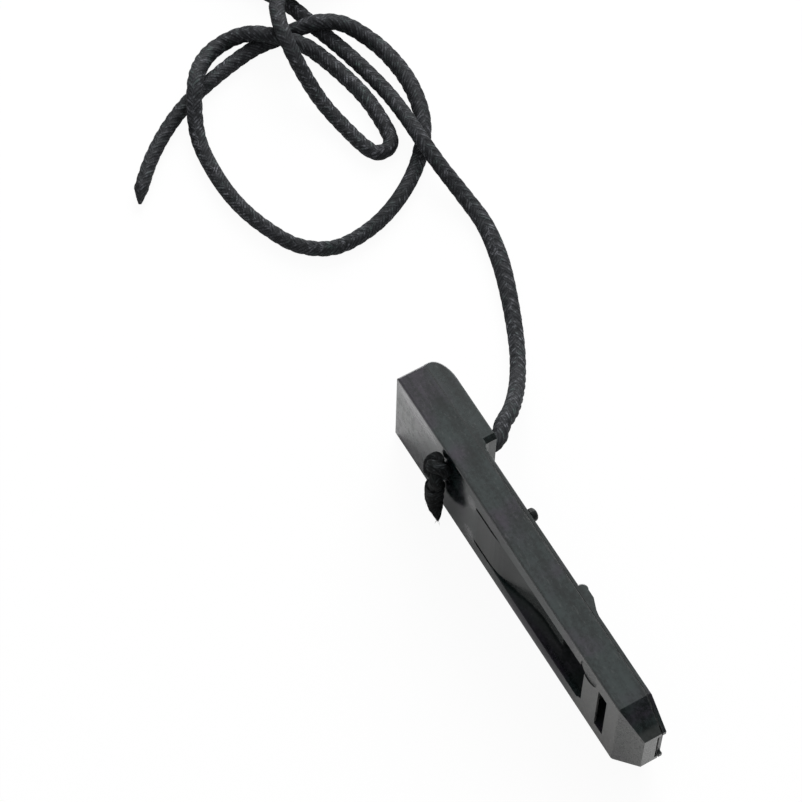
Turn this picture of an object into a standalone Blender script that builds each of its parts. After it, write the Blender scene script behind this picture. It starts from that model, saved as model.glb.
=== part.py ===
"""Flat training whistle with a press tongue clicker and a waxed cotton neck cord.

The whistle stands on one narrow edge. X runs from the head to the lip, Y from the open front face
to the back cover, and Z up. The origin is under the middle of the whistle, on the surface.
"""

import math

import bmesh
import bpy
import numpy as np
from mathutils import Matrix

MM = 0.001

# Outer form. Distances along the whistle are taken from its head end or from its lip.
LENGTH = 85.2 * MM
HEIGHT = 22.3 * MM
BODY_DEPTH = 5.95 * MM
PLATE_THICKNESS = 0.7 * MM
HEAD_RISE = 3.0 * MM
HEAD_LENGTH = 20.2 * MM
HEAD_ROUND_LENGTH = 5.6 * MM
SHOULDER_FILLET = 1.3 * MM
SHOULDER_CHAMFER = 0.95 * MM
EDGE_ROUND = 0.35 * MM
FIT_GAP = 0.3 * MM

# Mouthpiece: the last stretch narrows above, below and on the front.
MOUTH_LENGTH = 6.0 * MM
LIP_HEIGHT = 11.1 * MM
LIP_FRONT_SLOPE = 2.3 * MM
LIP_NOTCH_LENGTH = 0.7 * MM

# Voicing: a slanted windway, an open gap, a sharp labium and the chamber behind it.
WINDWAY_LENGTH = 9.6 * MM
WINDWAY_WIDTH = 9.0 * MM
WINDWAY_THICKNESS = 0.9 * MM
WINDWAY_FRONT_WALL = 1.5 * MM
WINDWAY_LIP_BREAK = 0.15 * MM
VOICING_GAP = 2.8 * MM
LABIUM_LENGTH = 3.4 * MM
LABIUM_ROOT = 1.6 * MM
LABIUM_EDGE = 0.45 * MM
CHAMBER_WALL = 1.4 * MM
RAIL_WIDTH = 4.0 * MM

# Clicker bay: the long window, the tongue cut free in it, the round posts in the window's end corners
# and the steel strip behind the tongue.
TONGUE_ROOT = 29.8 * MM
TONGUE_WALL = 1.1 * MM
TONGUE_SLIT = 0.9 * MM
TONGUE_FLAT = 5.3 * MM
TONGUE_RAMP = 16.0 * MM
TONGUE_DROP = 3.0 * MM
TONGUE_EDGE_ROUND = 0.18 * MM
FINGER_ROOM = 11.0 * MM
POST_RADIUS = 2.75 * MM
POST_PAST_BAY = 1.25 * MM
POST_IN_RAIL = 1.0 * MM
POST_RECESS = 0.25 * MM
POST_RECESS_DROP = 0.25 * MM
STRIP_THICKNESS = 0.3 * MM
STRIP_CLAMP = 4.0 * MM
STRIP_INSET = 0.3 * MM
STRIP_DISH = 0.25 * MM

# Back cover details: a finger ridge across it and two staked pins.
RIDGE_FROM_LIP = 31.1 * MM
RIDGE_HEIGHT = 1.35 * MM
RIDGE_CREST = 2.4 * MM
RIDGE_LENGTH = 7.3 * MM
PIN_FROM_HEAD = 36.8 * MM
PIN_FROM_EDGE = 2.1 * MM
PIN_SHANK = 1.5 * MM
PIN_DEPTH = 2.4 * MM
PIN_HEAD = 2.7 * MM
PIN_HEAD_HEIGHT = 1.45 * MM
PIN_HEAD_RIM = 0.65 * MM

# Cord, knot and coil.
CORD = 3.0 * MM
CORD_HOLE_CLEARANCE = 0.7 * MM
CORD_LONGEST_STEP = 9.0 * MM
CORD_TURN_STEP = math.radians(48)
CURVE_PARTS = 16
HOLE_FROM_HEAD = 17.6 * MM
HOLE_FROM_TOP = 8.5 * MM
KNOT_SIZE = (8.2 * MM, 4.2 * MM, 8.2 * MM)
KNOT_SHIFT = (1.4 * MM, 2.4 * MM)
COIL_CENTRE = (-162.5 * MM, 37.8 * MM)
COIL_OUTER = 20.5 * MM
COIL_PITCH = 3.55 * MM
COIL_ENTRY = math.radians(-60)
COIL_EXIT = math.radians(0)
COIL_WHOLE_TURNS = 4
COIL_STEPS = 24
TIE_ANGLE = math.radians(120)
TIE_BAND = 0.6 * MM
TIE_WIDTH = 4.0 * MM
TIE_SPREAD = math.radians(24)

# Free cord, in millimetres: from the hole down to the surface and along it to the coil.
LEAD_ROUTE = (
    (-25.0, -4.6, 13.8),
    (-25.0, 1.0, 13.8),
    (-25.1, 5.4, 13.6),
    (-25.7, 7.6, 13.3),
    (-28.4, 10.4, 12.4),
    (-31.1, 13.9, 10.3),
    (-36.1, 18.4, 6.3),
    (-41.1, 22.0, 2.9),
    (-46.4, 25.1, 1.7),
    (-55.6, 29.2, 1.6),
    (-65.6, 32.7, 1.6),
    (-74.2, 34.3, 1.6),
    (-81.5, 33.9, 2.3),
    (-88.8, 32.8, 4.2),
    (-96.0, 32.4, 5.1),
    (-103.3, 32.9, 3.8),
    (-110.9, 33.2, 1.9),
    (-117.5, 32.3, 1.6),
    (-124.5, 30.8, 1.6),
    (-132.5, 28.6, 1.6),
    (-140.9, 26.3, 1.6),
)

# From the coil over the other strands, round the small turn and the wide loop to the cut end.
LOOP_ROUTE = (
    (-141.8, 31.5, 5.4),
    (-139.9, 24.0, 6.6),
    (-134.6, 20.9, 8.2),
    (-129.2, 19.6, 8.7),
    (-122.6, 19.3, 6.3),
    (-115.6, 20.1, 2.8),
    (-108.0, 21.5, 1.6),
    (-101.6, 22.9, 1.6),
    (-99.8, 23.9, 1.6),
    (-99.2, 25.7, 1.6),
    (-99.9, 27.4, 1.6),
    (-101.6, 28.3, 1.6),
    (-107.4, 28.9, 1.6),
    (-114.1, 28.6, 1.6),
    (-124.9, 26.0, 2.0),
    (-128.9, 23.2, 4.0),
    (-134.8, 16.7, 5.1),
    (-137.6, 13.4, 3.3),
    (-138.6, 9.3, 1.7),
    (-136.6, 4.6, 2.7),
    (-130.4, -1.1, 5.3),
    (-121.4, -5.6, 2.0),
    (-112.4, -6.9, 1.6),
    (-103.4, -6.5, 1.6),
    (-95.6, -4.4, 1.6),
    (-88.3, -0.6, 1.6),
    (-84.4, 5.4, 1.6),
    (-84.7, 14.1, 1.6),
    (-88.2, 22.9, 1.6),
    (-94.2, 30.8, 1.6),
    (-101.4, 36.0, 1.6),
    (-110.2, 38.4, 1.6),
    (-118.9, 38.2, 1.6),
    (-125.2, 36.3, 2.1),
    (-129.2, 32.8, 4.3),
    (-131.4, 28.5, 5.1),
    (-133.0, 24.6, 3.4),
    (-134.0, 20.8, 1.8),
    (-134.3, 14.3, 1.6),
    (-130.6, -0.6, 1.6),
    (-127.0, -8.4, 1.6),
    (-121.4, -16.2, 1.6),
    (-113.4, -24.0, 1.6),
)

# The short end left hanging from the knot.
TAIL_ROUTE = (
    (-24.0, -7.28, 11.6),
    (-24.2, -7.28, 8.65),
    (-24.0, -7.32, 5.85),
    (-23.3, -7.47, 4.17),
    (-22.4, -7.69, 3.24),
    (-21.6, -7.93, 2.49),
)

# Places worked out from the sizes above, in the shared frame.
HEAD_X = -LENGTH / 2
LIP_X = LENGTH / 2
WHOLE_DEPTH = BODY_DEPTH + FIT_GAP + PLATE_THICKNESS + HEAD_RISE
FRONT_Y = -WHOLE_DEPTH / 2
PARTING_Y = FRONT_Y + BODY_DEPTH
COVER_Y = PARTING_Y + FIT_GAP
PLATE_Y = COVER_Y + PLATE_THICKNESS
HEAD_Y = PLATE_Y + HEAD_RISE
MIDDLE_Z = HEIGHT / 2
RAIL_HALF = HEIGHT / 2 - RAIL_WIDTH
GAP_X = LIP_X - WINDWAY_LENGTH
LABIUM_X = GAP_X - VOICING_GAP
CHAMBER_X = LABIUM_X - LABIUM_LENGTH
BAY_X = CHAMBER_X - CHAMBER_WALL
ROOT_X = HEAD_X + TONGUE_ROOT
TONGUE_END_X = BAY_X - FINGER_ROOM
TONGUE_HALF = RAIL_HALF - TONGUE_SLIT
STRIP_HALF = TONGUE_HALF - STRIP_INSET
POST_X = BAY_X + POST_PAST_BAY
POST_UP = RAIL_HALF + POST_IN_RAIL
HOLE_X = HEAD_X + HOLE_FROM_HEAD
HOLE_Z = HEIGHT - HOLE_FROM_TOP
HOLE_RADIUS = CORD / 2 + CORD_HOLE_CLEARANCE
OVERSHOOT = 2 * MM


def clear_scene():
    for thing in list(bpy.data.objects):
        bpy.data.objects.remove(thing, do_unlink=True)


def new_collection(name):
    collection = bpy.data.collections.new(name)
    bpy.context.scene.collection.children.link(collection)
    return collection


def new_material(name, colour, roughness, metallic=0.0):
    material = bpy.data.materials.new(name)
    material.use_nodes = True
    shader = material.node_tree.nodes["Principled BSDF"]
    shader.inputs["Base Color"].default_value = (*colour, 1)
    shader.inputs["Roughness"].default_value = roughness
    shader.inputs["Metallic"].default_value = metallic
    return material


def move_to(thing, collection):
    for owner in list(thing.users_collection):
        owner.objects.unlink(thing)
    collection.objects.link(thing)
    return thing


def as_mesh(curve_object, collection):
    """The curve's evaluated shape as a mesh object with its caps welded, in the curve's place."""
    graph = bpy.context.evaluated_depsgraph_get()
    data = bpy.data.meshes.new_from_object(curve_object.evaluated_get(graph))
    shape = bmesh.new()
    shape.from_mesh(data)
    bmesh.ops.remove_doubles(shape, verts=shape.verts, dist=0.001 * MM)
    bmesh.ops.recalc_face_normals(shape, faces=shape.faces)
    shape.to_mesh(data)
    shape.free()
    name = curve_object.name
    solid = bpy.data.objects.new(name, data)
    solid.matrix_world = curve_object.matrix_world.copy()
    bpy.data.objects.remove(curve_object, do_unlink=True)
    solid.name = name
    collection.objects.link(solid)
    return solid


def extruded(name, outlines, half_width, collection, edge_round=0.0):
    """A flat solid: outlines are closed lists of (x, y), the later ones being holes in the first."""
    data = bpy.data.curves.new(name, "CURVE")
    data.dimensions = "2D"
    data.fill_mode = "BOTH"
    data.extrude = half_width - edge_round
    data.bevel_depth = edge_round
    data.bevel_resolution = 1
    data.offset = -edge_round
    for outline in outlines:
        spline = data.splines.new("POLY")
        spline.points.add(len(outline) - 1)
        for point, (x, y) in zip(spline.points, outline):
            point.co = (x, y, 0, 1)
        spline.use_cyclic_u = True
    thing = bpy.data.objects.new(name, data)
    bpy.context.scene.collection.objects.link(thing)
    bpy.context.view_layer.update()
    return as_mesh(thing, collection)


def arc(centre, radii, start, end, steps):
    """Points on an elliptical arc between two angles in degrees."""
    angles = np.radians(np.linspace(start, end, steps + 1))
    return [(centre[0] + radii[0] * math.cos(a), centre[1] + radii[1] * math.sin(a)) for a in angles]


def as_cutter(thing):
    thing.hide_render = True
    thing.display_type = "WIRE"
    return thing


def box_cutter(name, low, high, collection):
    bpy.ops.mesh.primitive_cube_add(size=1)
    thing = bpy.context.active_object
    thing.name = name
    thing.location = [(a + b) / 2 for a, b in zip(low, high)]
    thing.scale = [b - a for a, b in zip(low, high)]
    return as_cutter(move_to(thing, collection))


def hole_cutter(name, x, z, radius, low_y, high_y, collection):
    """A round hole along Y."""
    bpy.ops.mesh.primitive_cylinder_add(vertices=24, radius=radius, depth=high_y - low_y)
    thing = bpy.context.active_object
    thing.name = name
    thing.location = (x, (low_y + high_y) / 2, z)
    thing.rotation_euler = (math.radians(90), 0, 0)
    return as_cutter(move_to(thing, collection))


def cut(thing, other):
    modifier = thing.modifiers.new(other.name, "BOOLEAN")
    modifier.operation = "DIFFERENCE"
    modifier.object = other


def round_edges(thing, width):
    modifier = thing.modifiers.new("Edges", "BEVEL")
    modifier.width = width
    modifier.segments = 2
    modifier.limit_method = "ANGLE"
    modifier.angle_limit = math.radians(28)


def finish_piece(thing, material):
    thing.data.materials.clear()
    thing.data.materials.append(material)
    if thing.type == "MESH":
        thing.data.shade_smooth()
        thing.data.set_sharp_from_angle(angle=math.radians(30))


def mouth_wedges(cutters):
    """Cutters that slant both narrow edges down to the lip."""
    half, lip = HEIGHT / 2, LIP_HEIGHT / 2
    fall = (half - lip) / MOUTH_LENGTH
    taper_x = LIP_X - MOUTH_LENGTH
    reach = MOUTH_LENGTH + OVERSHOOT
    wedges = []
    for name, side in (("lower", -1), ("upper", 1)):
        outline = [
            (taper_x - OVERSHOOT, side * (half + fall * OVERSHOOT)),
            (taper_x + reach, side * (half - fall * reach)),
            (taper_x + reach, side * (half + fall * OVERSHOOT)),
        ]
        wedge = as_cutter(extruded(f"mouth_wedge_{name}", [outline], WHOLE_DEPTH, cutters))
        wedge.location.z = MIDDLE_Z
        wedge.rotation_euler = (math.radians(90), 0, 0)
        wedges.append(wedge)
    return wedges


def make_body(parts, cutters, wedges, material):
    """The front moulding: clicker bay, voicing and windway cut into a bar with a sloped mouth."""
    past_parting = PARTING_Y + 2 * EDGE_ROUND
    bar = [
        (HEAD_X, FRONT_Y),
        (LIP_X - MOUTH_LENGTH, FRONT_Y),
        (LIP_X, FRONT_Y + LIP_FRONT_SLOPE),
        (LIP_X, past_parting),
        (HEAD_X, past_parting),
    ]
    body = extruded("body", [bar], HEIGHT / 2, parts, EDGE_ROUND)
    body.location.z = MIDDLE_Z
    cut(body, parting_cutter("body_parting", PARTING_Y, past_parting + OVERSHOOT, cutters))
    for wedge in wedges:
        cut(body, wedge)
    cut(body, bay_cutter(cutters))
    recess_z = MIDDLE_Z + POST_UP - POST_RECESS_DROP
    low, high = FRONT_Y - OVERSHOOT, FRONT_Y + POST_RECESS
    cut(body, hole_cutter("post_recess", POST_X, recess_z, POST_RADIUS, low, high, cutters))
    cut(body, strip_pocket(cutters))
    cut(body, voicing_cutter(cutters))
    cut(body, windway_cutter(cutters))
    for name, z in pin_places():
        low, high = PARTING_Y - PIN_DEPTH - FIT_GAP, PARTING_Y + OVERSHOOT
        cut(body, hole_cutter(f"{name}_seat", pin_x(), z, PIN_SHANK / 2 + FIT_GAP, low, high, cutters))
    finish_piece(body, material)
    return body


def mirrored(upper):
    """A closed outline from its upper half, which runs along X and is mirrored in the middle line."""
    return upper + [(x, -up) for x, up in reversed(upper)]


def bay_cutter(cutters):
    """The long window through the body, its end corners filled by two round posts."""
    rail_meets = math.degrees(math.asin(POST_IN_RAIL / POST_RADIUS))
    end_meets = math.degrees(math.acos(POST_PAST_BAY / POST_RADIUS))
    post = arc((POST_X, POST_UP), (POST_RADIUS, POST_RADIUS), 180 + rail_meets, 180 + end_meets, 4)
    outline = mirrored([(ROOT_X - FIT_GAP, RAIL_HALF), *post])
    bay = extruded("clicker_bay", [outline], WHOLE_DEPTH, cutters)
    bay.location.z = MIDDLE_Z
    bay.rotation_euler = (math.radians(90), 0, 0)
    return as_cutter(bay)


def parting_cutter(name, low_y, high_y, cutters):
    """A slab that trims a moulding square at its parting face, so that the seam stays tight."""
    low = (HEAD_X - OVERSHOOT, low_y, -OVERSHOOT)
    high = (LIP_X + OVERSHOOT, high_y, HEIGHT + OVERSHOOT)
    return box_cutter(name, low, high, cutters)


def voicing_cutter(cutters):
    """The open gap in front of the labium and the chamber behind it, closed only by the cover."""
    outline = [
        (CHAMBER_X, PARTING_Y + OVERSHOOT),
        (CHAMBER_X, FRONT_Y + LABIUM_ROOT),
        (LABIUM_X, FRONT_Y + LABIUM_EDGE),
        (LABIUM_X, FRONT_Y - OVERSHOOT),
        (GAP_X, FRONT_Y - OVERSHOOT),
        (GAP_X, PARTING_Y + OVERSHOOT),
    ]
    cutter = extruded("voicing", [outline], RAIL_HALF, cutters)
    cutter.location.z = MIDDLE_Z
    return as_cutter(cutter)


def windway_cutter(cutters):
    """A flat channel from the parting line at the lip up to just behind the front wall at the gap."""
    gap_y = FRONT_Y + WINDWAY_FRONT_WALL
    lip_y = PARTING_Y + WINDWAY_LIP_BREAK - WINDWAY_THICKNESS
    slope = (lip_y - gap_y) / WINDWAY_LENGTH
    start_x, end_x = GAP_X - OVERSHOOT / 2, LIP_X + OVERSHOOT
    front = [(x, gap_y + slope * (x - GAP_X)) for x in (start_x, end_x)]
    back = [(x, y + WINDWAY_THICKNESS) for x, y in reversed(front)]
    cutter = extruded("windway", [front + back], WINDWAY_WIDTH / 2, cutters)
    cutter.location.z = MIDDLE_Z
    return as_cutter(cutter)


def eased(t):
    """A smooth rise from 0 to 1, level at both ends."""
    t = min(max(t, 0.0), 1.0)
    return 3 * t * t - 2 * t**3


def ridge_profile():
    """The finger ridge's outline above the cover plate, from its slope to its steep side."""
    start = LIP_X - RIDGE_FROM_LIP
    crest = start + RIDGE_CREST
    end = start + RIDGE_LENGTH
    slope = []
    for t in (0, 0.25, 0.5, 0.75):
        slope.append((end - (end - crest) * t, PLATE_Y + RIDGE_HEIGHT * eased(t)))
    nose = arc((start + RIDGE_CREST / 2, PLATE_Y), (RIDGE_CREST / 2, RIDGE_HEIGHT), 60, 180, 6)
    return slope + nose


def make_back_cover(parts, cutters, wedges, material):
    """The back: a plate over the body with a thick rounded head, a finger ridge and a lip notch."""
    shoulder_x = HEAD_X + HEAD_LENGTH
    round_centre = (HEAD_X + HEAD_ROUND_LENGTH, PLATE_Y)
    fillet_centre = (shoulder_x + SHOULDER_FILLET, PLATE_Y + SHOULDER_FILLET)
    past_parting = COVER_Y - 2 * EDGE_ROUND
    profile = [(HEAD_X, past_parting), (LIP_X, past_parting), (LIP_X, PLATE_Y)]
    profile += ridge_profile()
    profile += arc(fillet_centre, (SHOULDER_FILLET, SHOULDER_FILLET), 270, 180, 4)
    profile += [(shoulder_x, HEAD_Y)]
    profile += arc(round_centre, (HEAD_ROUND_LENGTH, HEAD_RISE), 90, 180, 8)
    cover = extruded("back_cover", [profile], HEIGHT / 2, parts, min(EDGE_ROUND, PLATE_THICKNESS / 3))
    cover.location.z = MIDDLE_Z
    cut(cover, parting_cutter("cover_parting", past_parting - OVERSHOOT, COVER_Y, cutters))
    for wedge in wedges:
        cut(cover, wedge)
    for name, z in (("lower", 0.0), ("upper", HEIGHT)):
        cut(cover, shoulder_chamfer(name, shoulder_x, z, cutters))
    low = (LIP_X - LIP_NOTCH_LENGTH, COVER_Y - OVERSHOOT, MIDDLE_Z - WINDWAY_WIDTH / 2)
    high = (LIP_X + OVERSHOOT, PLATE_Y + OVERSHOOT, MIDDLE_Z + WINDWAY_WIDTH / 2)
    cut(cover, box_cutter("lip_notch", low, high, cutters))
    for name, z in pin_places():
        low_y, high_y = COVER_Y - OVERSHOOT, PLATE_Y + OVERSHOOT
        cut(cover, hole_cutter(f"{name}_hole", pin_x(), z, PIN_SHANK / 2 + FIT_GAP, low_y, high_y, cutters))
    finish_piece(cover, material)
    return cover


def shoulder_chamfer(name, x, z, cutters):
    """A bar turned on edge that slants the head's shoulder where it meets a narrow edge."""
    side = SHOULDER_CHAMFER * math.sqrt(2)
    bpy.ops.mesh.primitive_cube_add(size=1)
    thing = bpy.context.active_object
    thing.name = f"shoulder_chamfer_{name}"
    thing.scale = (side, HEAD_RISE + EDGE_ROUND, side)
    thing.location = (x, PLATE_Y + FIT_GAP + HEAD_RISE / 2 + EDGE_ROUND, z)
    thing.rotation_euler = (0, math.radians(45), 0)
    return as_cutter(move_to(thing, cutters))


def tongue_depth(x):
    """How far the tongue's front lies behind the front face: flush at its root, then a smooth ramp."""
    return TONGUE_DROP * eased((x - ROOT_X - TONGUE_FLAT) / TONGUE_RAMP)


def hinge_point(x, y):
    return (x, y, MIDDLE_Z)


def make_press_tongue(parts, material):
    """The tongue between the two slits; its origin is the bending line at its root."""
    hinge_y = FRONT_Y + TONGUE_WALL / 2
    steps = np.linspace(ROOT_X + TONGUE_FLAT, ROOT_X + TONGUE_FLAT + TONGUE_RAMP, 13)
    stations = [ROOT_X, *[x for x in steps if x < TONGUE_END_X], TONGUE_END_X]
    front = [(x - ROOT_X, FRONT_Y + tongue_depth(x) - hinge_y) for x in stations]
    back = [(x, y + TONGUE_WALL) for x, y in reversed(front)]
    tongue = extruded("press_tongue", [front + back], TONGUE_HALF, parts)
    tongue.location = hinge_point(ROOT_X, hinge_y)
    round_edges(tongue, TONGUE_EDGE_ROUND)
    finish_piece(tongue, material)
    return tongue


def strip_rest_y():
    return COVER_Y - FIT_GAP - STRIP_THICKNESS


def make_clicker_strip(parts, material):
    """A spring steel leaf: its flat end trapped under the cover, its free end just behind the tongue's."""
    rest_y = strip_rest_y()
    rise = FRONT_Y + tongue_depth(TONGUE_END_X) + TONGUE_WALL + FIT_GAP - rest_y
    length = TONGUE_END_X - ROOT_X
    front = [(-STRIP_CLAMP, 0.0)]
    for t in np.linspace(0, 1, 13):
        front.append((length * t, rise * t - STRIP_DISH * math.sin(math.pi * t)))
    back = [(x, y + STRIP_THICKNESS) for x, y in reversed(front)]
    strip = extruded("clicker_strip", [front + back], STRIP_HALF, parts)
    strip.location = hinge_point(ROOT_X, rest_y)
    finish_piece(strip, material)
    return strip


def strip_pocket(cutters):
    """The shallow recess in the parting face that holds the strip's flat end."""
    side = STRIP_HALF + FIT_GAP
    low = (ROOT_X - STRIP_CLAMP - FIT_GAP, strip_rest_y() - FIT_GAP, MIDDLE_Z - side)
    high = (ROOT_X + OVERSHOOT, PARTING_Y + OVERSHOOT, MIDDLE_Z + side)
    return box_cutter("strip_pocket", low, high, cutters)


def pin_x():
    return HEAD_X + PIN_FROM_HEAD


def pin_places():
    return (("cover_pin_lower", PIN_FROM_EDGE), ("cover_pin_upper", HEIGHT - PIN_FROM_EDGE))


def make_cover_pin(name, z, parts, material):
    """A staked pin: a shank into the body's rail and a domed head proud of the cover."""
    head, shank = PIN_HEAD / 2, PIN_SHANK / 2
    shank_end = -(PIN_DEPTH + FIT_GAP * 2 + PLATE_THICKNESS)
    dome = arc((0, PIN_HEAD_RIM), (head, PIN_HEAD_HEIGHT - PIN_HEAD_RIM), 90, 0, 5)
    profile = dome + [(head, 0), (shank, 0), (shank, shank_end), (0, shank_end)]
    shape = bmesh.new()
    points = [shape.verts.new((max(x, 0.0), 0, z_up)) for x, z_up in profile]
    for a, b in zip(points, points[1:]):
        shape.edges.new((a, b))
    data = bpy.data.meshes.new(name)
    shape.to_mesh(data)
    shape.free()
    pin = bpy.data.objects.new(name, data)
    parts.objects.link(pin)
    turn = pin.modifiers.new("Turn", "SCREW")
    turn.steps = turn.render_steps = 20
    turn.use_merge_vertices = True
    turn.merge_threshold = 0.01 * MM
    pin.location = (pin_x(), PLATE_Y + FIT_GAP, z)
    pin.rotation_euler = (math.radians(-90), 0, 0)
    finish_piece(pin, material)
    return pin


def smooth_curve(knots):
    """Close points on a centripetal Catmull-Rom curve through the knots."""
    padded = np.vstack([2 * knots[0] - knots[1], knots, 2 * knots[-1] - knots[-2]])
    chords = np.diff(padded, axis=0)
    spans = np.sqrt(np.linalg.norm(chords, axis=1))[:, None]
    slopes = chords / spans
    tangents = slopes[:-1] + slopes[1:] - (chords[:-1] + chords[1:]) / (spans[:-1] + spans[1:])
    t = np.linspace(0, 1, CURVE_PARTS, endpoint=False)[:, None]
    stretches = []
    for a, b, leave, arrive, span in zip(knots, knots[1:], tangents, tangents[1:], spans[1:]):
        ends = a + (b - a) * (3 * t**2 - 2 * t**3)
        bends = leave * (t**3 - 2 * t**2 + t) + arrive * (t**3 - t**2)
        stretches.append(ends + span * bends)
    return np.vstack([*stretches, knots[-1]])


def smooth_route(route):
    """Points along a smooth curve through the route, closer together where it bends."""
    fine = smooth_curve(np.array(route) * MM)
    steps = np.diff(fine, axis=0)
    lengths = np.linalg.norm(steps, axis=1)
    headings = steps / lengths[:, None]
    turns = np.arccos(np.clip((headings[1:] * headings[:-1]).sum(axis=1), -1, 1))
    share = lengths / CORD_LONGEST_STEP
    share[1:] += turns / CORD_TURN_STEP
    along = np.concatenate([[0], np.cumsum(share)])
    places = np.linspace(0, along[-1], math.ceil(along[-1]) + 1)
    return np.column_stack([np.interp(places, along, fine[:, axis]) for axis in range(3)])


def cord_tube(name, points, resolution, parts, material):
    data = bpy.data.curves.new(name, "CURVE")
    data.dimensions = "3D"
    data.bevel_depth = CORD / 2
    data.bevel_resolution = resolution
    data.use_fill_caps = True
    spline = data.splines.new("POLY")
    spline.points.add(len(points) - 1)
    for point, place in zip(spline.points, points):
        point.co = (*place, 1)
    tube = bpy.data.objects.new(name, data)
    parts.objects.link(tube)
    finish_piece(tube, material)
    return tube


def coil_points():
    """The stored length: in on the surface, up a layer where the spiral reverses, and out again."""
    turning = 2 * math.pi * COIL_WHOLE_TURNS + (COIL_ENTRY - COIL_EXIT) % (2 * math.pi)
    count = round(turning / (2 * math.pi) * COIL_STEPS)
    points = []
    for turned in np.linspace(0, turning, count + 1):
        from_middle = turned - turning / 2
        angle = COIL_ENTRY - turned
        radius = COIL_OUTER - COIL_PITCH * (turning / 2 - abs(from_middle)) / (2 * math.pi)
        climb = eased(from_middle / math.pi + 0.5)
        away = math.remainder(angle - TIE_ANGLE, 2 * math.pi) / TIE_SPREAD
        lift = (TIE_BAND + FIT_GAP) * math.exp(-away * away)
        x = COIL_CENTRE[0] + radius * math.cos(angle)
        y = COIL_CENTRE[1] + radius * math.sin(angle)
        points.append((x, y, CORD / 2 + climb * COIL_PITCH + lift))
    return np.array(points)


def least_self_gap(points):
    """The smallest clear distance between turns, measured on points along the tube's centre line."""
    fine = np.concatenate([np.linspace(a, b, 5)[:-1] for a, b in zip(points, points[1:])])
    along = np.concatenate([[0], np.cumsum(np.linalg.norm(np.diff(fine, axis=0), axis=1))])
    distance = np.linalg.norm(fine[:, None] - fine[None], axis=2)
    apart = np.abs(along[:, None] - along[None]) > 3 * CORD
    return distance[apart].min() - CORD


def with_straight_ends(points):
    """The turns with one cord diameter added at each end, in line with the last stretch."""
    first = points[0] - points[1]
    last = points[-1] - points[-2]
    start = points[0] + first / np.linalg.norm(first) * CORD
    end = points[-1] + last / np.linalg.norm(last) * CORD
    return np.vstack([start, points, end])


def make_cord(parts, material):
    coil = with_straight_ends(coil_points())
    print(f"coil's least gap to itself {least_self_gap(coil) / MM:.2f} mm")
    cord_tube("cord_coil", coil, 1, parts, material)
    lead = smooth_route(LEAD_ROUTE)
    lead_end = coil[0] + (lead[-1] - coil[0]) / np.linalg.norm(lead[-1] - coil[0]) * FIT_GAP
    cord_tube("cord_lead", np.vstack([lead, lead_end]), 2, parts, material)
    loop = smooth_route(LOOP_ROUTE)
    loop_start = coil[-1] + (loop[0] - coil[-1]) / np.linalg.norm(loop[0] - coil[-1]) * FIT_GAP
    cord_tube("cord_loop", np.vstack([loop_start, loop]), 2, parts, material)
    cord_tube("knot_tail", smooth_route(TAIL_ROUTE), 2, parts, material)
    lengths = [np.linalg.norm(np.diff(p, axis=0), axis=1).sum() for p in (lead, coil, loop)]
    print("cord lengths in mm:", ", ".join(f"{length / MM:.0f}" for length in lengths))


def make_knot(parts, material):
    """The stopper knot, a firm lump drawn up against the front face over the hole."""
    bpy.ops.mesh.primitive_uv_sphere_add(segments=20, ring_count=12, radius=0.5)
    knot = move_to(bpy.context.active_object, parts)
    knot.name = "stopper_knot"
    knot.data.transform(Matrix.Diagonal((*KNOT_SIZE, 1)))
    knot.location = (HOLE_X + KNOT_SHIFT[0], FRONT_Y - FIT_GAP - KNOT_SIZE[1] / 2, HOLE_Z + KNOT_SHIFT[1])
    finish_piece(knot, material)
    return knot


def make_coil_tie(parts, material):
    """A flat band round the coil's bundle of turns."""
    turns = COIL_WHOLE_TURNS / 2 + 0.5
    half_width = (turns * COIL_PITCH + CORD) / 2 + FIT_GAP
    half_height = (COIL_PITCH + CORD) / 2 + FIT_GAP

    def rounded(grow):
        across, up, corner = half_width + grow, half_height + grow, CORD / 2 + grow
        points = []
        for sx, sy, start in ((1, 1, 0), (-1, 1, 90), (-1, -1, 180), (1, -1, 270)):
            centre = (sx * (across - corner), sy * (up - corner))
            points += arc(centre, (corner, corner), start, start + 90, 4)
        return points

    tie = extruded("coil_tie", [rounded(TIE_BAND), rounded(0)], TIE_WIDTH / 2, parts)
    middle = COIL_OUTER - turns * COIL_PITCH / 2
    x = COIL_CENTRE[0] + middle * math.cos(TIE_ANGLE)
    y = COIL_CENTRE[1] + middle * math.sin(TIE_ANGLE)
    tie.location = (x, y, TIE_BAND + half_height)
    tie.rotation_euler = (math.radians(90), 0, TIE_ANGLE)
    finish_piece(tie, material)
    return tie


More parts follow.
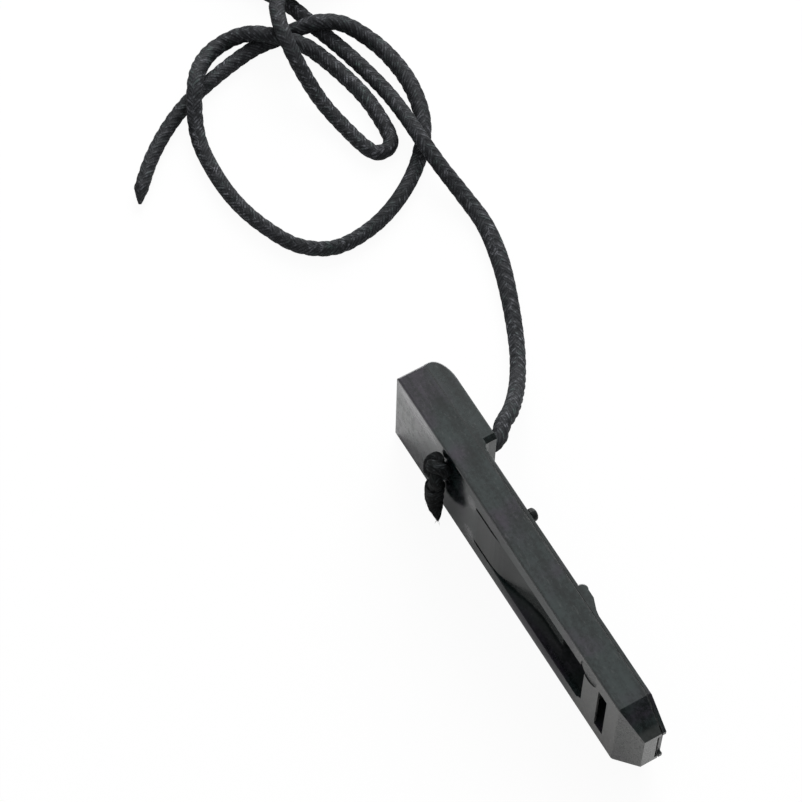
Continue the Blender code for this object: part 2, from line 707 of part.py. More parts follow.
def main():
    clear_scene()
    parts = new_collection("training_whistle")
    cutters = new_collection("cutters")
    black_plastic = new_material("black_plastic", (0.018, 0.020, 0.020), 0.42)
    cover_plastic = new_material("cover_plastic", (0.016, 0.018, 0.018), 0.45)
    tongue_plastic = new_material("tongue_plastic", (0.020, 0.021, 0.021), 0.40)
    pin_plastic = new_material("pin_plastic", (0.014, 0.014, 0.015), 0.50)
    spring_steel = new_material("spring_steel", (0.55, 0.56, 0.58), 0.30, 1.0)
    waxed_cotton = new_material("waxed_cotton", (0.012, 0.012, 0.013), 0.60)
    tie_plastic = new_material("tie_plastic", (0.015, 0.015, 0.015), 0.55)
    wedges = mouth_wedges(cutters)
    body = make_body(parts, cutters, wedges, black_plastic)
    cover = make_back_cover(parts, cutters, wedges, cover_plastic)
    low_y, high_y = FRONT_Y - OVERSHOOT, HEAD_Y + OVERSHOOT
    cord_hole = hole_cutter("cord_hole", HOLE_X, HOLE_Z, HOLE_RADIUS, low_y, high_y, cutters)
    cut(body, cord_hole)
    cut(cover, cord_hole)
    make_press_tongue(parts, tongue_plastic)
    make_clicker_strip(parts, spring_steel)
    for name, z in pin_places():
        make_cover_pin(name, z, parts, pin_plastic)
    make_knot(parts, waxed_cotton)
    make_cord(parts, waxed_cotton)
    make_coil_tie(parts, tie_plastic)


main()
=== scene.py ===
import math
import random

import bpy
import numpy as np
from mathutils import Matrix


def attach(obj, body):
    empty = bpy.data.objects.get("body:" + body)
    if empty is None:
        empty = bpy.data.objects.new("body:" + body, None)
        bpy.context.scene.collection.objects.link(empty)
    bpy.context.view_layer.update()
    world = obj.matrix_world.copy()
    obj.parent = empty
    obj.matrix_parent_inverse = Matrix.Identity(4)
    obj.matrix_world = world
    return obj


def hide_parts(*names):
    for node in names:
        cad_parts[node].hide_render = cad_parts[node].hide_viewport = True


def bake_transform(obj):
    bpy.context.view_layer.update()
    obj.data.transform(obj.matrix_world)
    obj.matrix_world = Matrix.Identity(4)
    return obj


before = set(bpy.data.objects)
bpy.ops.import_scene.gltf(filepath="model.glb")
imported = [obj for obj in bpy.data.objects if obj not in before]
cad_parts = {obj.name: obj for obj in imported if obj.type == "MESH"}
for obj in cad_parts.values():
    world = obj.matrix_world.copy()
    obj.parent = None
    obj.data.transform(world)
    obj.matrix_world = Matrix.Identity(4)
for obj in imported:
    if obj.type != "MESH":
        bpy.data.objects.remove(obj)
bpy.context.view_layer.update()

scene = bpy.context.scene
scene.view_settings.view_transform = "Standard"
mm = 0.001
fullTurn = 2 * math.pi


def addObject(name, data):
    thing = bpy.data.objects.new(name, data)
    scene.collection.objects.link(thing)
    return thing


def turnedTo(right, up, back, place):
    return Matrix([*zip(right, up, back, place), (0, 0, 0, 1)])


# camera, fitted to the straight edges of the whistle
cameraLook = {
    "lens": 157.11,
    "sensor": 36.0,
    "nearest": 0.01,
    "place": (0.23067, -0.17507, 0.60372),
    "right": (0.50637, 0.86218, 0.01553),
    "up": (-0.76095, 0.43830, 0.47837),
    "back": (0.40563, -0.25405, 0.87802),
}


def placeCamera(look):
    data = bpy.data.cameras.new("photoCamera")
    data.lens = look["lens"]
    data.sensor_width = look["sensor"]
    data.clip_start = look["nearest"]
    camera = addObject("photoCamera", data)
    camera.matrix_world = turnedTo(look["right"], look["up"], look["back"], look["place"])
    scene.camera = camera


placeCamera(cameraLook)
print("camera placed")


# shader sums written as Python
class Wire:
    def __init__(self, tree, socket=None):
        self.tree = tree
        self.socket = socket

    def make(self, kind, settings=None, sockets=None, out=0):
        node = self.tree.nodes.new(kind)
        for key, value in (settings or {}).items():
            setattr(node, key, value)
        for key, value in (sockets or {}).items():
            if isinstance(value, Wire):
                self.tree.links.new(value.socket, node.inputs[key])
            else:
                node.inputs[key].default_value = value
        return Wire(self.tree, node.outputs[out] if node.outputs else None)

    def feeds(self, shader, socket):
        self.tree.links.new(self.socket, shader.inputs[socket])

    def sum(self, operation, *terms):
        return self.make("ShaderNodeMath", {"operation": operation}, dict(enumerate(terms)))

    def __add__(self, other):
        return self.sum("ADD", self, other)

    def __radd__(self, other):
        return self.sum("ADD", other, self)

    def __sub__(self, other):
        return self.sum("SUBTRACT", self, other)

    def __rsub__(self, other):
        return self.sum("SUBTRACT", other, self)

    def __mul__(self, other):
        return self.sum("MULTIPLY", self, other)

    def __rmul__(self, other):
        return self.sum("MULTIPLY", other, self)

    def above(self, low, high):  # 0 below low, 1 above high, smooth in the middle
        settings = {"interpolation_type": "SMOOTHSTEP"}
        parts = {"Value": self, "From Min": low, "From Max": high}
        return self.make("ShaderNodeMapRange", settings, parts)

    def below(self, low, high):  # 1 below low, 0 above high
        return 1 - self.above(low, high)

    def within(self, rise, fall):  # up over the first range and down again over the second
        return self.above(*rise) * self.below(*fall)

    def atLeast(self, least):  # 0 to 1 becomes least to 1
        return least + (1 - least) * self

    def mixed(self, first, second):  # two colours, this value saying how much of the second
        parts = {0: self, 6: first, 7: second}
        return self.make("ShaderNodeMix", {"data_type": "RGBA"}, parts, 2)

    def axis(self, name):
        return self.make("ShaderNodeSeparateXYZ", {}, {"Vector": self}, name)

    def vector(self, operation, other, out=0):
        return self.make("ShaderNodeVectorMath", {"operation": operation}, {0: self, 1: other}, out)

    def noise(self, scale, detail=2.0, rough=0.5, stretch=None):
        place = self.vector("MULTIPLY", stretch) if stretch else self
        parts = {"Vector": place, "Scale": scale, "Detail": detail, "Roughness": rough}
        return self.make("ShaderNodeTexNoise", {}, parts)

    def bump(self, strength, depth, normal=None):  # this value is the height, depth is in metres
        parts = {"Strength": strength, "Distance": depth, "Height": self}
        if normal:
            parts["Normal"] = normal
        return self.make("ShaderNodeBump", {}, parts)

    def millimetres(self):  # where on the object
        return self.make("ShaderNodeTexCoord", out="Object").vector("MULTIPLY", (1 / mm,) * 3)


def newFinish(name, constants):
    finish = bpy.data.materials.new(name)
    finish.use_nodes = True
    shader = finish.node_tree.nodes["Principled BSDF"]
    for socket, value in constants.items():
        shader.inputs[socket].default_value = value
    return finish, Wire(finish.node_tree), shader


def colour(red, green, blue):
    return (red, green, blue, 1.0)


def newPiece(name, places, faces, finish):
    mesh = bpy.data.meshes.new(name)
    mesh.from_pydata(places, [], faces)
    mesh.materials.append(finish)
    return addObject(name, mesh)


def skinFaces(rows, size, flipped=False):
    # quads between rows of points that each go once round, and a cap on both ends
    faces = []
    for low in range(0, (rows - 1) * size, size):
        high = low + size
        for point in range(size):
            pair = (point, (point + 1) % size)
            first, second = pair[::-1] if flipped else pair
            faces.append((low + first, low + second, high + second, high + first))
    start, end = tuple(range(size)), tuple(range((rows - 1) * size, rows * size))
    return [*faces, start, end[::-1]] if flipped else [*faces, start[::-1], end]


# the cord: one round braid of eight strands, from the hole to its cut end
cordLook = {  # millimetres
    "tickPitch": 2.6,     # from one strand to the next along the cord
    "ringStep": 0.22,
    "coilStep": 0.5,      # coarser where the cord is put away
    "lineSteps": 40,      # between two points of the route
    "around": 32,
    "core": 1.19,         # middle of the buried strands
    "strands": 4,         # that wind each way
    "strand": 0.27,       # how round each strand stands
    "strandSides": 0.96,  # how far it falls off to its sides
    "weave": 0.14,        # how far strands rise and dive
    "weaves": 2,          # rises in one turn round the cord
    "yarns": 3,           # side by side in each strand
    "yarn": 0.045,
    "turn": math.pi / 4,  # puts the braid's V uppermost
    "shift": 0.25,        # of a tick, each hand its own way
    "coilCentre": (-162.5, 37.8),
    "coilOuter": 20.5,
    "coilPitch": 3.55,
    "coilRest": 1.58,     # height of the lower turns
    "coilEntry": math.radians(-60),
    "coilTurns": 4,
    "coilSteps": 24,
    "tieAngle": math.radians(120),
    "tieSpread": math.radians(24),
    "tieLift": 0.9,
    "cutEnd": 3.4,        # length of the slanting cut
    "cutTip": 0.16,
    "cutRound": 0.8,
    "cutLean": (0.35, 0.5, -0.2),
    "cutMove": 1.3,
    "trodden": (          # how wide it is pressed, at these lengths along it
        [0, 20, 41, 52, 64, 74, 86, 120, 620, 660, 683,
         690, 740, 762, 792, 809, 829, 853, 872, 893, 940],
        [1.05, 1.06, 1.06, 1.14, 1.26, 1.18, 1.06, 1.06, 1.0, 1.10, 1.04,
         1.0, 1.08, 1.12, 1.04, 0.97, 1.0, 1.08, 1.12, 1.1, 0.96],
    ),
    "lead": [
        (-25.0, -4.6, 13.8), (-25.0, 1.0, 13.8), (-25.1, 5.4, 13.6), (-25.7, 7.6, 13.3),
        (-28.4, 10.4, 12.4), (-31.1, 13.9, 10.3), (-36.1, 18.4, 6.3), (-41.1, 22.0, 2.9),
        (-46.4, 25.1, 1.7), (-55.6, 29.2, 1.6), (-65.6, 32.7, 1.6), (-74.2, 34.3, 1.6),
        (-81.5, 33.9, 2.3), (-88.8, 32.8, 4.2), (-96.0, 32.4, 5.1), (-103.3, 32.9, 3.8),
        (-110.9, 33.2, 1.9), (-117.5, 32.3, 1.6), (-124.5, 30.8, 1.6), (-132.5, 28.6, 1.6),
        (-140.9, 26.3, 1.6),
    ],
    "loop": [
        (-141.8, 31.5, 5.4), (-139.9, 24.0, 6.6), (-134.6, 20.9, 8.2), (-129.2, 19.6, 8.7),
        (-122.6, 19.3, 6.3), (-115.6, 20.1, 2.8), (-108.0, 21.5, 1.6), (-101.6, 22.9, 1.6),
        (-99.8, 23.9, 1.6), (-99.2, 25.7, 1.6), (-99.9, 27.4, 1.6), (-101.6, 28.3, 1.6),
        (-107.4, 28.9, 1.6), (-114.1, 28.6, 1.6), (-124.9, 26.0, 2.0), (-128.9, 23.2, 4.0),
        (-134.8, 16.7, 5.1), (-137.6, 13.4, 3.3), (-138.6, 9.3, 1.7), (-136.6, 4.6, 2.7),
        (-130.4, -1.1, 5.3), (-121.4, -5.6, 2.0), (-112.4, -6.9, 1.6), (-103.4, -6.5, 1.6),
        (-95.6, -4.4, 1.6), (-88.3, -0.6, 1.6), (-84.4, 5.4, 1.6), (-84.7, 14.1, 1.6),
        (-88.2, 22.9, 1.6), (-94.2, 30.8, 1.6), (-101.4, 36.0, 1.6), (-110.2, 38.4, 1.6),
        (-118.9, 38.2, 1.6), (-125.2, 36.3, 2.1), (-129.2, 32.8, 4.3), (-131.4, 28.5, 5.1),
        (-133.0, 24.6, 3.4), (-134.0, 20.8, 1.8), (-134.3, 14.3, 1.6), (-130.6, -0.6, 1.6),
        (-127.0, -8.4, 1.6), (-121.4, -16.2, 1.6), (-113.4, -24.0, 1.6),
    ],
}


def coilPoints(look):
    # in to the middle along the floor, then out again on top
    turning = fullTurn * look["coilTurns"] + look["coilEntry"] % fullTurn
    count = round(turning / fullTurn * look["coilSteps"])
    points = []
    for turned in np.linspace(0, turning, count + 1):
        fromMiddle = turned - turning / 2
        angle = look["coilEntry"] - turned
        inward = look["coilPitch"] * (turning / 2 - abs(fromMiddle)) / fullTurn
        radius = look["coilOuter"] - inward
        rise = min(max(fromMiddle / math.pi + 0.5, 0), 1)
        climb = rise * rise * (3 - 2 * rise)
        away = math.remainder(angle - look["tieAngle"], fullTurn) / look["tieSpread"]
        height = look["coilRest"] + climb * look["coilPitch"]
        height += look["tieLift"] * math.exp(-away * away)
        x = look["coilCentre"][0] + radius * math.cos(angle)
        y = look["coilCentre"][1] + radius * math.sin(angle)
        points.append((x, y, height))
    return points


def lengthAlong(line):
    return np.concatenate([[0], np.cumsum(np.linalg.norm(np.diff(line, axis=0), axis=1))])


def smoothLine(points, look, coarse=slice(0)):
    # centripetal curve through the points, then even steps along it, longer in the coarse stretch
    knots = np.array(points, float)
    padded = np.vstack([2 * knots[0] - knots[1], knots, 2 * knots[-1] - knots[-2]])
    chords = np.diff(padded, axis=0)
    spans = np.sqrt(np.linalg.norm(chords, axis=1))[:, None]
    slopes = chords / spans
    tangents = slopes[:-1] + slopes[1:] - (chords[:-1] + chords[1:]) / (spans[:-1] + spans[1:])
    t = np.linspace(0, 1, look["lineSteps"], endpoint=False)[:, None]
    stretches = []
    for a, b, leave, arrive, span in zip(knots, knots[1:], tangents, tangents[1:], spans[1:]):
        bends = leave * (t**3 - 2 * t**2 + t) + arrive * (t**3 - t**2)
        stretches.append(a + (b - a) * (3 * t**2 - 2 * t**3) + span * bends)
    fine = np.vstack([*stretches, knots[-1]])
    steps = np.full(len(stretches), look["ringStep"])
    steps[coarse] = look["coilStep"]
    ringsBetween = np.diff(lengthAlong(fine)) / np.repeat(steps, len(t))
    rings = np.concatenate([[0], np.cumsum(ringsBetween)])
    places = np.linspace(0, rings[-1], round(rings[-1]) + 1)
    return np.column_stack([np.interp(places, rings, fine[:, axis]) for axis in range(3)])


def carriedFrame(line):
    # two directions square to the line, carried along it without twist
    slanting = (0.31, 0.22, 0.92)  # no line here starts along it
    ahead = np.gradient(line, axis=0)
    ahead /= np.linalg.norm(ahead, axis=1)[:, None]
    side = np.cross(ahead[0], slanting)
    sides = []
    for direction in ahead:
        side = side - direction * side.dot(direction)
        side /= np.linalg.norm(side)
        sides.append(side)
    sides = np.array(sides)
    return sides, np.cross(ahead, sides)


def braidedTube(line, size, look, flat=1.0):
    # strands wind both ways, each over two and under two
    # size narrows the ends, flat widens the cord where it is trodden
    around = look["around"]
    sides, ups = carriedFrame(line)
    along = lengthAlong(line)[:, None]
    angle = (np.arange(around) * fullTurn / around)[None, :]
    wound = angle + look["turn"]
    shares = []
    for hand in (-1, 1):
        phase = along / look["tickPitch"] + hand * wound / (fullTurn / look["strands"])
        phase = phase + look["shift"] * hand
        across = 2 * (phase - np.floor(phase)) - 1
        rise = -hand * np.cos(look["weaves"] * wound - math.pi / 2)
        standing = look["strand"] * np.sqrt(1 - look["strandSides"] * across**2)
        shares.append((look["weave"] * rise + standing, across))
    (right, acrossRight), (left, acrossLeft) = shares
    top = np.maximum(right, left)
    strand = np.where(right > left, acrossRight, acrossLeft)
    yarns = look["yarn"] * np.abs(np.sin(look["yarns"] * math.pi / 2 * strand))
    radius = (look["core"] + top + yarns) * size[:, None]
    offsets = (radius * np.cos(angle))[:, :, None] * sides[:, None, :]
    offsets = offsets + (radius * np.sin(angle))[:, :, None] * ups[:, None, :]
    offsets[:, :, :2] *= np.reshape(flat, (-1, 1, 1))
    places = line[:, None, :] + offsets
    crest = (top + look["weave"]) / (2 * look["weave"] + look["strand"])
    run = np.broadcast_to(along, radius.shape)
    faces = skinFaces(len(line), around)
    return places.reshape(-1, 3), faces, crest.ravel(), strand.ravel(), run.ravel()


fibreLook = {
    "rings": 6,
    "corners": 3,
    "curl": 0.28,
    "taper": 0.7,
    "crest": 0.55,                  # how high on the braid it is coloured
    "slanting": (0.2, 0.5, 0.84),   # settles which way its corners face
}


def looseFibre(start, heading, length, thick, chance):
    # one stray fibre, a thin thread that curls and tapers
    rings, corners = fibreLook["rings"], fibreLook["corners"]
    place = np.array(start, float)
    heading = np.array(heading, float) / np.linalg.norm(heading)
    curl = np.array([chance.uniform(-1, 1) for _ in range(3)])
    places = []
    for ring in range(rings):
        side = np.cross(heading, fibreLook["slanting"])
        side /= np.linalg.norm(side)
        up = np.cross(heading, side)
        radius = thick * (1 - fibreLook["taper"] * ring / (rings - 1))
        for corner in range(corners):
            turn = corner * fullTurn / corners
            places.append(place + radius * (math.cos(turn) * side + math.sin(turn) * up))
        heading = heading + curl * fibreLook["curl"]
        heading /= np.linalg.norm(heading)
        place = place + heading * length / (rings - 1)
    return places, skinFaces(rings, corners)


def braidPiece(name, tube, fibres, finish):
    places, faces, crest, strand, run = tube
    for fibrePlaces, fibreFaces in fibres:
        first, more = len(places), len(fibrePlaces)
        places = np.vstack([places, fibrePlaces])
        faces = faces + [tuple(first + i for i in face) for face in fibreFaces]
        crest = np.concatenate([crest, np.full(more, fibreLook["crest"])])
        strand = np.concatenate([strand, np.zeros(more)])
        run = np.concatenate([run, np.zeros(more)])
    piece = newPiece(name, (places * mm).tolist(), faces, finish)
    for key, values in (("crest", crest), ("strand", strand), ("run", run)):
        layer = piece.data.attributes.new(key, "FLOAT", "POINT")
        layer.data.foreach_set("value", values.astype(np.float32))
    piece.data.shade_smooth()
    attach(piece, "whistle")
    return piece


def slantedCut(line, look):
    # narrows the last stretch to one side, as a cord cut at a slant
    left = lengthAlong(line)[-1] - lengthAlong(line)
    size = np.clip(look["cutTip"] + (1 - look["cutTip"]) * left / look["cutEnd"], 0, 1)
    size = size ** look["cutRound"]
    moved = line + (1 - size)[:, None] * look["cutMove"] * np.array(look["cutLean"])
    return moved, size


waxLooks = {
    "cord": {
        "groove": colour(0.0040, 0.0045, 0.0052), "thread": colour(0.0285, 0.0300, 0.0335),
        "waxAndHighlight": colour(0.210, 0.215, 0.240),      # wax on the crests, and painted highlight there
        "greenish": colour(0.080, 0.125, 0.112), "waxed": 0.9, "rough": 0.62, "gloss": 0.13,
    },
    # a darker copy of the cord's finish for the knot and its end: painted shade, with less painted
    # highlight
    "knot": {
        "groove": colour(0.0020, 0.0022, 0.0023), "thread": colour(0.0105, 0.0115, 0.0120),
        "waxAndHighlight": colour(0.090, 0.100, 0.110),
        "greenish": colour(0.030, 0.042, 0.040), "waxed": 0.8, "rough": 0.70, "gloss": 0.10,
    },
}
weaveLook = {  # noises on places in millimetres, and the ranges over which a thing shows
    "fibreLay": (5, 0.5),             # across a strand and along the cord
    "fibres": {"scale": 1.6, "detail": 3.0}, "fibresLeast": 0.3,
    "patches": {"scale": 0.33}, "patchesShow": (0.42, 0.66),
    "kept": {"scale": 0.06}, "keptShows": (0.35, 0.65), "keptLeast": 0.5,
    "wax": {"scale": 1.1, "detail": 4.0, "rough": 0.6}, "waxShows": (0.46, 0.66),
    "filled": {"scale": 0.5}, "filledShows": (0.42, 0.60), "filledMost": 0.7, "filledTone": 0.6,
    "crestLifts": (0.30, 0.85), "crestLight": (0.10, 0.70),
    "yarnLifts": (0.25, 0.95), "yarnLeast": 0.25,
    "roughFibres": 0.20, "roughLifted": 0.10,
    "highFibres": 0.4, "highWax": 0.2, "highYarn": 0.4, "bump": (0.6, 0.00008),
}


def waxedCotton(name, look):
    weave = weaveLook
    finish, sheet, shader = newFinish(name, {"IOR": 1.46, "Specular IOR Level": look["gloss"]})
    crest, strand, run = (
        sheet.make("ShaderNodeAttribute", {"attribute_name": key}, out="Fac")
        for key in ("crest", "strand", "run")
    )
    place = sheet.millimetres()
    across, along = weave["fibreLay"]
    lines = sheet.make("ShaderNodeCombineXYZ", {}, {"X": strand * across, "Y": run * along})
    fibres = lines.noise(**weave["fibres"])
    yarn = sheet.sum("ABSOLUTE", sheet.sum("SINE", strand * (cordLook["yarns"] * math.pi / 2)))
    wax = place.noise(**weave["wax"])
    # long stretches keep more of their wax, and in places it fills the weave
    kept = place.noise(**weave["kept"]).above(*weave["keptShows"])
    filled = place.noise(**weave["filled"]).above(*weave["filledShows"]) * weave["filledMost"]
    # crests are painted lighter as highlight, and grooves and yarn edges darker as painted shade
    lifted = crest.above(*weave["crestLifts"]) * yarn.above(*weave["yarnLifts"])
    waxAndHighlight = lifted * wax.above(*weave["waxShows"]) * fibres.atLeast(weave["fibresLeast"])
    waxAndHighlight = waxAndHighlight * kept.atLeast(weave["keptLeast"]) * look["waxed"]
    patches = place.noise(**weave["patches"]).above(*weave["patchesShow"])
    tint = patches.mixed(look["waxAndHighlight"], look["greenish"])
    shaded = yarn.atLeast(weave["yarnLeast"]) * (1 - filled) + weave["filledTone"] * fibres * filled
    threads = (crest.above(*weave["crestLight"]) * shaded).mixed(look["groove"], look["thread"])
    waxAndHighlight.mixed(threads, tint).feeds(shader, "Base Color")
    rough = look["rough"] + weave["roughFibres"] * fibres - weave["roughLifted"] * lifted
    rough.feeds(shader, "Roughness")
    height = fibres * weave["highFibres"] + wax * weave["highWax"] + yarn * weave["highYarn"]
    height.bump(*weave["bump"]).feeds(shader, "Normal")
    return finish


waxed = waxedCotton("waxedCotton", waxLooks["cord"])

coil = coilPoints(cordLook)
putAway = slice(len(cordLook["lead"]), len(cordLook["lead"]) + len(coil))
cordRoute = [*cordLook["lead"], *coil, *cordLook["loop"]]
cordLine = smoothLine(cordRoute, cordLook, putAway)
cutLine, cutSize = slantedCut(cordLine, cordLook)
trodden = np.interp(lengthAlong(cordLine), *cordLook["trodden"])
neckCord = braidPiece("neck_cord", braidedTube(cutLine, cutSize, cordLook, trodden), [], waxed)
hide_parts("cord_lead", "cord_coil", "cord_loop")
print("cord laid:", round(lengthAlong(cordLine)[-1]), "mm in", len(cordLine), "rings")


# stopper knot, an overhand knot pulled tight against the head, and its short end
knotLook = {  # millimetres, with turned and openEnds in radians
    "hole": (-25.0, -4.975, 13.8),
    "centre": (1.1, 3.9),       # along and up from the hole
    "lobes": (0.50, 1.03),      # half as wide as it is tall
    "turned": 0.35,
    "standOff": 2.2,
    "depth": 0.88,
    "size": 0.82,               # the cord is squeezed in the knot
    "easing": 2.6,              # length over which it swells again
    "openEnds": 0.5,
    "steps": 40,
    "mouth": (0.6, -0.8),       # out of the hole and into it, where the knot ends
    "fuzz": {"count": 90, "length": 1.0, "seed": 5},
    "tail": [
        (-24.0, -7.28, 11.6), (-24.2, -7.28, 8.65), (-24.0, -7.32, 5.85), (-23.3, -7.47, 4.17),
        (-22.4, -7.69, 3.24), (-21.6, -7.93, 2.49), (-21.2, -8.05, 1.9),
    ],
    "tailSizes": (              # at these lengths from the tip: pinched, then frayed wide
        [0, 0.9, 2.4, 5.0, 9.0],
        [0.10, 0.42, 0.86, 1.16, 1.22],
    ),
    "tailFuzz": {"count": 30, "length": 0.9, "seed": 8},
    "tip": {
        "count": 9, "thick": 0.06, "lengths": (0.5, 1.5), "seed": 11,
        "along": (-0.5, 0.3), "across": (-0.5, 0.2), "down": -0.6,
    },
}
fuzzLook = {"thick": 0.035, "shortest": 0.4, "astray": 2}


def knotPoints(look):
    # from the short end round to the hole: an open trefoil, in the face's own directions
    hole, (middleAlong, middleUp) = look["hole"], look["centre"]
    cos, sin = math.cos(look["turned"]), math.sin(look["turned"])
    start, end = math.pi + look["openEnds"], 3 * math.pi - look["openEnds"]
    points = [look["tail"][0]]
    for t in np.linspace(start, end, look["steps"]):
        along = look["lobes"][0] * (math.sin(t) + 2 * math.sin(2 * t))
        up = look["lobes"][1] * (math.cos(t) - 2 * math.cos(2 * t))
        out = look["standOff"] - look["depth"] * math.sin(3 * t)
        along, up = along * cos - up * sin + middleAlong, along * sin + up * cos + middleUp
        points.append((hole[0] + along, hole[1] - out, hole[2] + up))
    for out in look["mouth"]:
        points.append((hole[0], hole[1] - out, hole[2]))
    return points


def squeezed(line, look):
    along = lengthAlong(line)
    fromEnd = np.minimum(along, along[-1] - along)
    return 1 - (1 - look["size"]) * np.clip(fromEnd / look["easing"], 0, 1)


def fuzzOn(tube, count, length, seed):
    # short stray fibres standing off a braid, seeded
    astray, shortest = fuzzLook["astray"], fuzzLook["shortest"]
    chance = random.Random(seed)
    places = tube[0]
    middle = places.mean(axis=0)
    fibres = []
    for _ in range(count):
        root = places[chance.randrange(len(places))]
        heading = (root - middle) + np.array([chance.uniform(-astray, astray) for _ in range(3)])
        reach = length * chance.uniform(shortest, 1.0)
        fibres.append(looseFibre(root, heading, reach, fuzzLook["thick"], chance))
    return fibres


def frayedTip(line, look):
    # longer fibres that spread downwards from the cut end, seeded
    chance = random.Random(look["seed"])
    fibres = []
    for _ in range(look["count"]):
        spread = (chance.uniform(*look["along"]), chance.uniform(*look["across"]), look["down"])
        reach = chance.uniform(*look["lengths"])
        fibres.append(looseFibre(line[-2], spread, reach, look["thick"], chance))
    return fibres


# the knot and its end take the darker copy of the cord's finish, as painted shade
darkWaxed = waxedCotton("knottedCotton", waxLooks["knot"])
knotLine = smoothLine(knotPoints(knotLook), cordLook)
knotTube = braidedTube(knotLine, squeezed(knotLine, knotLook), cordLook)
knot = braidPiece("overhand_knot", knotTube, fuzzOn(knotTube, **knotLook["fuzz"]), darkWaxed)
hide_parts("stopper_knot")

tailLine = smoothLine(knotLook["tail"], cordLook)
fromTip = lengthAlong(tailLine)[-1] - lengthAlong(tailLine)
tailTube = braidedTube(tailLine, np.interp(fromTip, *knotLook["tailSizes"]), cordLook)
tailFibres = frayedTip(tailLine, knotLook["tip"]) + fuzzOn(tailTube, **knotLook["tailFuzz"])
tail = braidPiece("cut_tail", tailTube, tailFibres, darkWaxed)
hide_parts("knot_tail")
print("knot tied")


# moulded plastic, satin all over and rubbed brighter along its edges
plainPlastic = {  # what every moulding starts from
    "handledAndLit": 0.0, "heldAndLit": colour(0.100, 0.100, 0.104),
    "bittenAndLit": colour(0.050, 0.050, 0.049), "fall": 0.0,
    "dust": colour(0.055, 0.060, 0.058),
}
plasticLooks = {  # edge and wearEdge in millimetres
    "body": {
        **plainPlastic,
        "deep": colour(0.0002, 0.0030, 0.0028), "pale": colour(0.0175, 0.0270, 0.0266),
        "tint": colour(0.0280, 0.0230, 0.0340), "rubbed": colour(0.075, 0.077, 0.078),
        "rough": 0.21, "gloss": 0.5, "edge": 0.06, "wearEdge": 0.35, "wear": 0.6,
        # held: a paler band on the head's front, partly handling wear and partly painted highlight
        "handledAndLit": 1.0, "heldAndLit": colour(0.300, 0.299, 0.308),
        # bitten: a paler lip, painted highlight, with bite scuffs only in roughness
        "bittenAndLit": colour(0.190, 0.188, 0.183), "fall": 0.45,
    },
    "back_cover": {
        **plainPlastic,
        "deep": colour(0.0004, 0.0030, 0.0028), "pale": colour(0.0165, 0.0250, 0.0250),
        "tint": colour(0.0260, 0.0215, 0.0320), "rubbed": colour(0.055, 0.058, 0.059),
        "rough": 0.24, "gloss": 0.5, "edge": 0.06, "wearEdge": 0.30, "wear": 0.25,
    },
    "press_tongue": {
        **plainPlastic,
        "deep": colour(0.0016, 0.0046, 0.0044), "pale": colour(0.0130, 0.0160, 0.0160),
        "tint": colour(0.0160, 0.0136, 0.0180), "rubbed": colour(0.060, 0.062, 0.062),
        "rough": 0.22, "gloss": 0.42, "edge": 0.05, "wearEdge": 0.22, "wear": 0.45,
    },
    "cover_pin_upper": {
        **plainPlastic,
        "deep": colour(0.0020, 0.0035, 0.0035), "pale": colour(0.0090, 0.0105, 0.0108),
        "tint": colour(0.0110, 0.0095, 0.0130), "rubbed": colour(0.050, 0.052, 0.054),
        "rough": 0.40, "gloss": 0.15, "edge": 0.08, "wearEdge": 0.30, "wear": 0.10,
    },
}
plasticLooks["cover_pin_lower"] = plasticLooks["cover_pin_upper"]
mouldGrain = {  # noises on places in millimetres
    "cloud": {"scale": 0.17, "detail": 3.0},
    "grain": {"scale": 4.5},                                    # spark texture of the mould
    "mottle": {"scale": 1.5, "detail": 3.0, "rough": 0.6},
    "streak": {"scale": 1.0, "stretch": (0.05, 0.45, 0.45)},    # drawn out along the whistle
    "flow": {"scale": 1.0, "detail": 4.0, "rough": 0.6, "stretch": (0.12, 1.4, 1.4)},
    "handling": {"scale": 1.7, "detail": 5.0, "rough": 0.65, "stretch": (0.35, 1.0, 2.2)},
    "blotch": {"scale": 0.62, "detail": 4.0, "rough": 0.62, "stretch": (1.0, 1.0, 0.7)},
    "specks": {"scale": 2.6, "detail": 4.0, "rough": 0.7},
    "purple": {"scale": 0.09},
}
wearPlaces = {  # millimetres along, across and up the whistle, over which a thing fades in or out
    "seamAcross": ((0.3, 0.7), (1.5, 1.9)), "seamAlong": (-22.0, -15.0),
    "crownAlong": (-42.4, -41.6), "crownUp": (21.4, 22.0),
    "footAlong": (-24.0, -12.0), "footUp": (0.8, 2.5),
    "frontAcross": (-4.97, -4.85),
    "bandAlong": (-34.0, -24.0), "bandUp": ((17.2, 20.2), (20.9, 22.2)),
    "swing": (-20.5, -4.975, 14.0), "swingReach": (5.0, 11.0),
    "blotchAlong": (-33.0, -27.0),
    "slits": ((-14.6, -4.975, 5.0), (-14.6, -4.975, 17.4)), "slitReach": (0.4, 3.2),
    "lipAlong": (19.0, 25.0),
    "purpleAlong": (-42.0, -26.0),
    "bayAcross": ((-4.4, -3.0), (1.3, 1.5)), "bayUp": ((3.6, 4.6), (17.6, 18.6)),
    "fallAlong": ((-9.0, 2.0), (13.0, 21.0)), "fallUp": (1.2, 6.4),
}
